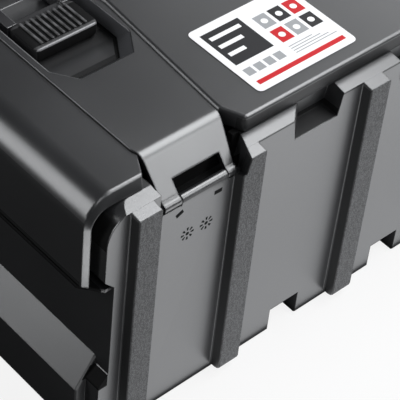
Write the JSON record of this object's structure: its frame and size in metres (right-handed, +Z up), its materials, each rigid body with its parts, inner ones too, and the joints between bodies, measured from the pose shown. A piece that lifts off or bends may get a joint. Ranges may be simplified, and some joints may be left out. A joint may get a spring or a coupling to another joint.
{
  "type": "stacking tool box",
  "caption": "Deep plastic tool box with a hinged cap lid, lid straps with folding handles, front latches, ribbed sides and stacking notches.",
  "frame": {"origin": "centre of the footprint on the floor", "axes": "+X along the length, +Y towards the hinge side, +Z up"},
  "size_m": [0.481, 0.3306, 0.2303],
  "materials": {
    "tub": "fine grain",
    "lid": "satin",
    "strap": "satin",
    "latch": "satin",
    "bail": "satin",
    "grip": "ribbed",
    "steel": "drawn",
    "label": "printed film"
  },
  "bodies": {
    "tub": {"body_tub": "tub", "hinge_pin_right": "steel", "hinge_pin_left": "steel"},
    "lid": {"lid_shell": "lid", "lid_label": "label", "lid_strap_right": "strap", "latch_pin_right": "steel", "handle_pin_right_inner": "steel", "handle_pin_right_outer": "steel", "strap_screw_right_1": "steel", "strap_screw_right_2": "steel", "strap_screw_right_3": "steel", "strap_screw_right_4": "steel", "lid_strap_left": "strap", "latch_pin_left": "steel", "handle_pin_left_inner": "steel", "handle_pin_left_outer": "steel", "strap_screw_left_1": "steel", "strap_screw_left_2": "steel", "strap_screw_left_3": "steel", "strap_screw_left_4": "steel"},
    "latch_lever_right": {"latch_right": "latch"},
    "handle_right": {"handle_bail_right": "bail", "handle_grip_right": "grip"},
    "latch_lever_left": {"latch_left": "latch"},
    "handle_left": {"handle_bail_left": "bail", "handle_grip_left": "grip"}
  },
  "joints": [
    {"name": "lid_hinge", "type": "hinge", "parent": "tub", "child": "lid", "pos_m": [0, 0.1538, 0.1988], "axis": [-1, 0, 0], "range_deg": [0, 105]},
    {"name": "latch_right_swing", "type": "hinge", "parent": "lid", "child": "latch_lever_right", "pos_m": [0.1515, -0.1538, 0.1988], "axis": [-1, 0, 0], "range_deg": [0, 115]},
    {"name": "handle_right_fold", "type": "hinge", "parent": "lid", "child": "handle_right", "pos_m": [0.1484, -0.042, 0.2205], "axis": [1, 0, 0], "range_deg": [0, 95]},
    {"name": "latch_left_swing", "type": "hinge", "parent": "lid", "child": "latch_lever_left", "pos_m": [-0.1515, -0.1538, 0.1988], "axis": [-1, 0, 0], "range_deg": [0, 115]},
    {"name": "handle_left_fold", "type": "hinge", "parent": "lid", "child": "handle_left", "pos_m": [-0.1484, -0.042, 0.2205], "axis": [1, 0, 0], "range_deg": [0, 95]}
  ]
}
